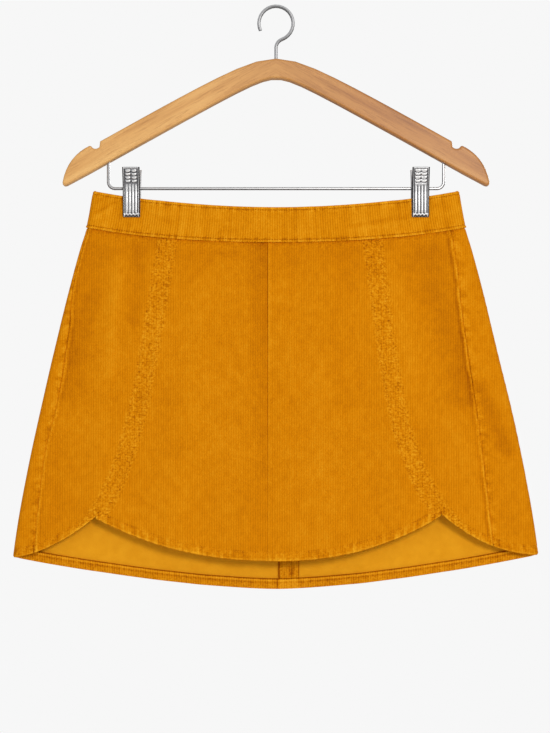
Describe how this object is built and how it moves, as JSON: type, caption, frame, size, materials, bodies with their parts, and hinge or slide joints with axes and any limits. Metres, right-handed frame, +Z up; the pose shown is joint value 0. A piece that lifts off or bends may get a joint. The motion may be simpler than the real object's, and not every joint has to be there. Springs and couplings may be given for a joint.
{
  "type": "a-line skirt on clip hanger",
  "caption": "Short a-line corduroy skirt with curved panel seams and notched front hem, hung flat from a wooden hanger by two metal clips.",
  "frame": {"origin": "inside top of the hook's crook, where a rail carries the hanger", "axes": "+Z up, +X to the right as seen from the front, -Y out of the front of the skirt"},
  "size_m": [0.5461, 0.0279, 0.6093],
  "materials": {
    "corduroy": "mustard cotton corduroy, fine upright wales, soft nap",
    "corduroy_band": "the same corduroy, two layers, slightly lighter",
    "corduroy_hem": "the same corduroy turned up or pressed open inside",
    "zip_tape": "plain woven zip tape, matt",
    "zip_coil": "nylon zip coil",
    "zip_metal": "nickel-plated zip slider and pull",
    "wood": "light varnished wood, satin",
    "chrome": "bright chromed steel wire and sheet"
  },
  "bodies": {
    "root": {"waistband": "corduroy_band", "front_centre_left": "corduroy", "front_centre_right": "corduroy", "front_side_left": "corduroy", "front_side_right": "corduroy", "back_left": "corduroy", "back_right": "corduroy", "front_centre_left_hem": "corduroy_hem", "front_centre_right_hem": "corduroy_hem", "front_side_left_hem": "corduroy_hem", "front_side_right_hem": "corduroy_hem", "back_left_hem": "corduroy_hem", "back_right_hem": "corduroy_hem", "seam_allowance_left": "corduroy_hem", "seam_allowance_right": "corduroy_hem", "zip_tape_left": "zip_tape", "zip_tape_right": "zip_tape", "zip_chain": "zip_coil", "zip_slider": "zip_metal", "hanger_wood": "wood", "hook": "chrome", "hanger_bar": "chrome", "clip_left_front_jaw": "chrome", "clip_left_back_jaw": "chrome", "clip_left_spring": "chrome", "clip_right_front_jaw": "chrome", "clip_right_back_jaw": "chrome", "clip_right_spring": "chrome"},
    "pull": {"zip_pull": "zip_metal"}
  },
  "joints": [
    {"name": "zip_pull_hinge", "type": "hinge", "parent": "root", "child": "pull", "pos_m": [0.002, 0.0113, -0.2193], "axis": [1, 0, 0], "range_deg": [0, 160]}
  ]
}
